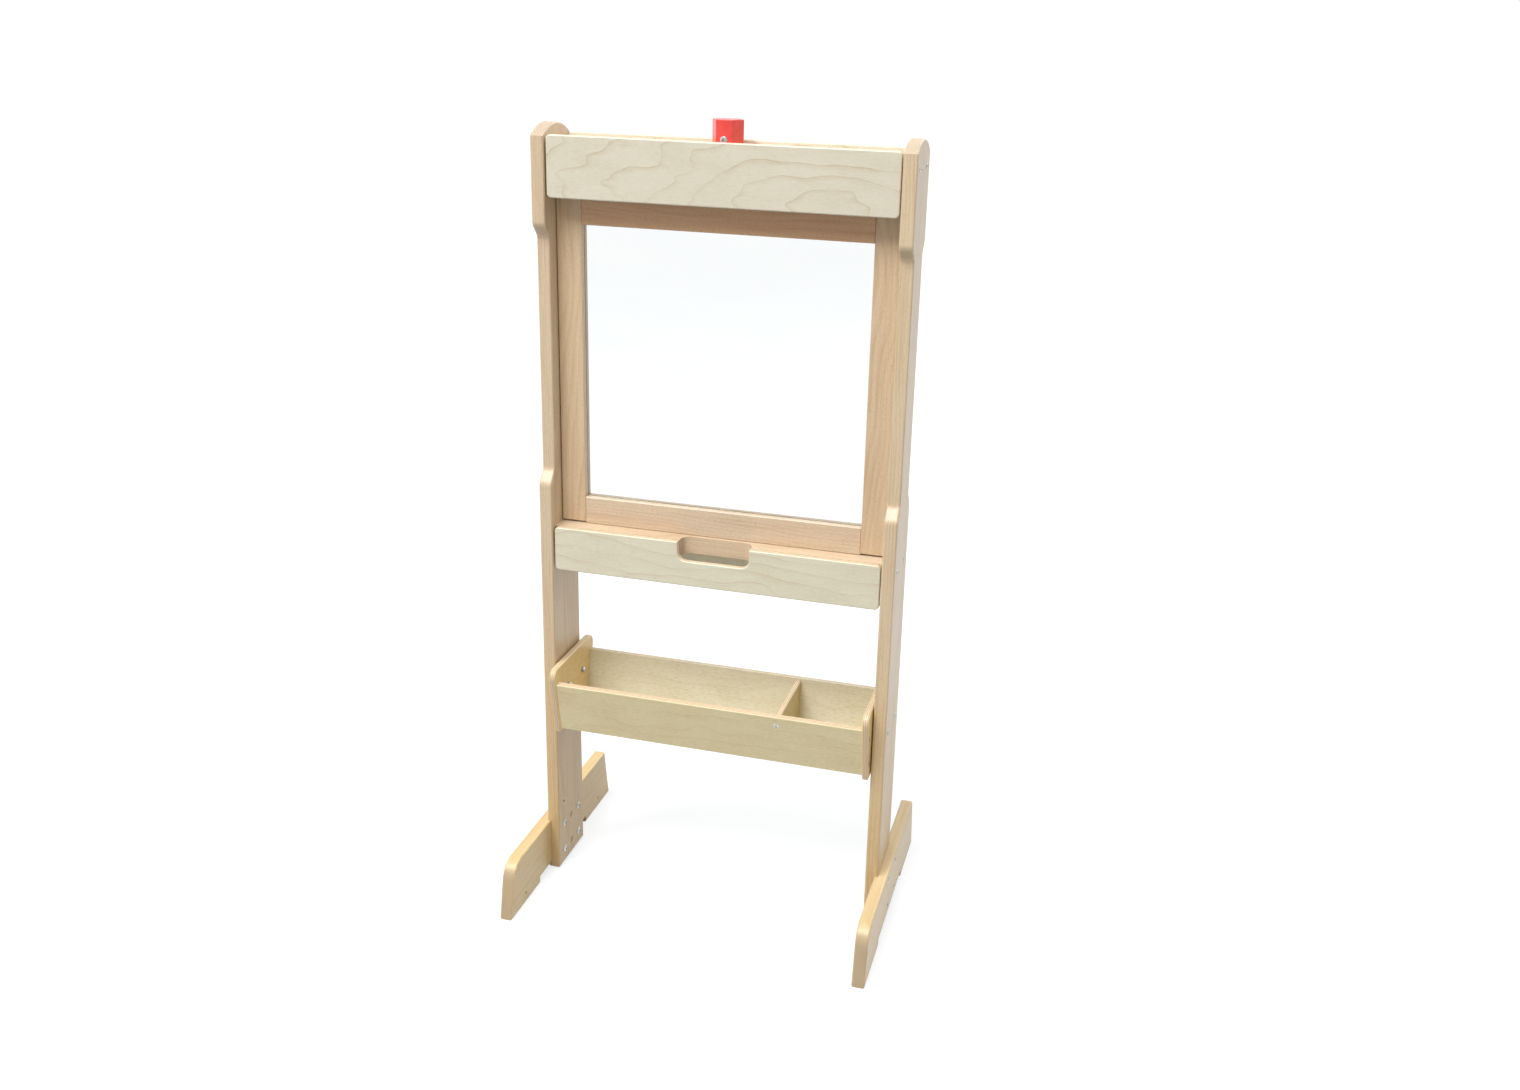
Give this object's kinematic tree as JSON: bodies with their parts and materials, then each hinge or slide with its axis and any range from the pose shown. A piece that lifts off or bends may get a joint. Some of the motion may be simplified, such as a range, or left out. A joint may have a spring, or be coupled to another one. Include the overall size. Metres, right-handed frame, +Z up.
{
  "type": "kids easel",
  "caption": "Free-standing children's easel: two waisted beech uprights on long feet hold a framed clear painting board, a plywood tray and a red pull-up lock.",
  "frame": {"origin": "middle of the footprint, on the floor", "axes": "+Z up, +X to the right seen from the front, +Y to the back; the long rounded toes of the feet point to -Y"},
  "size_m": [0.525, 0.37, 1.098],
  "materials": {
    "beech": "clear satin lacquer on solid beech",
    "panel_plywood": "clear satin lacquer on pale birch plywood",
    "tray_plywood": "clear satin lacquer on birch plywood",
    "dowel_wood": "plain turned wood",
    "clear_sheet": "polished clear acrylic",
    "red_paint": "red satin paint on wood",
    "zinc_steel": "bright zinc-plated steel"
  },
  "bodies": {
    "stand": {"left_upright": "beech", "right_upright": "beech", "left_foot": "beech", "right_foot": "beech", "head_shelf": "beech", "front_head_panel": "panel_plywood", "rear_head_panel": "panel_plywood", "lower_shelf": "beech", "front_lower_panel": "panel_plywood", "rear_lower_panel": "panel_plywood", "tray_left_end": "tray_plywood", "tray_right_end": "tray_plywood", "tray_front_board": "tray_plywood", "tray_back_board": "tray_plywood", "tray_bottom": "tray_plywood", "tray_divider": "tray_plywood", "head_screws": "zinc_steel", "lower_shelf_screws": "zinc_steel", "foot_bolts": "zinc_steel", "foot_inserts": "zinc_steel", "foot_dowels": "dowel_wood", "guide_pins": "zinc_steel", "shelf_pins": "dowel_wood", "tray_bolts": "zinc_steel", "tray_nuts": "zinc_steel", "tray_spacers": "zinc_steel", "tray_end_screws": "zinc_steel", "divider_screws": "zinc_steel"},
    "board": {"board_left_stile": "beech", "board_right_stile": "beech", "board_top_rail": "beech", "board_bottom_rail": "beech", "clear_panel": "clear_sheet", "frame_dowels": "dowel_wood"},
    "lock": {"lock_knob": "red_paint", "lock_pin": "dowel_wood", "lock_screw": "zinc_steel"}
  },
  "joints": [
    {"name": "board_lift", "type": "slide", "parent": "stand", "child": "board", "axis": [0, 0, 1], "range_m": [0, 0.036]},
    {"name": "lock_pull", "type": "slide", "parent": "board", "child": "lock", "axis": [0, 0, 1], "range_m": [0, 0.044]}
  ]
}
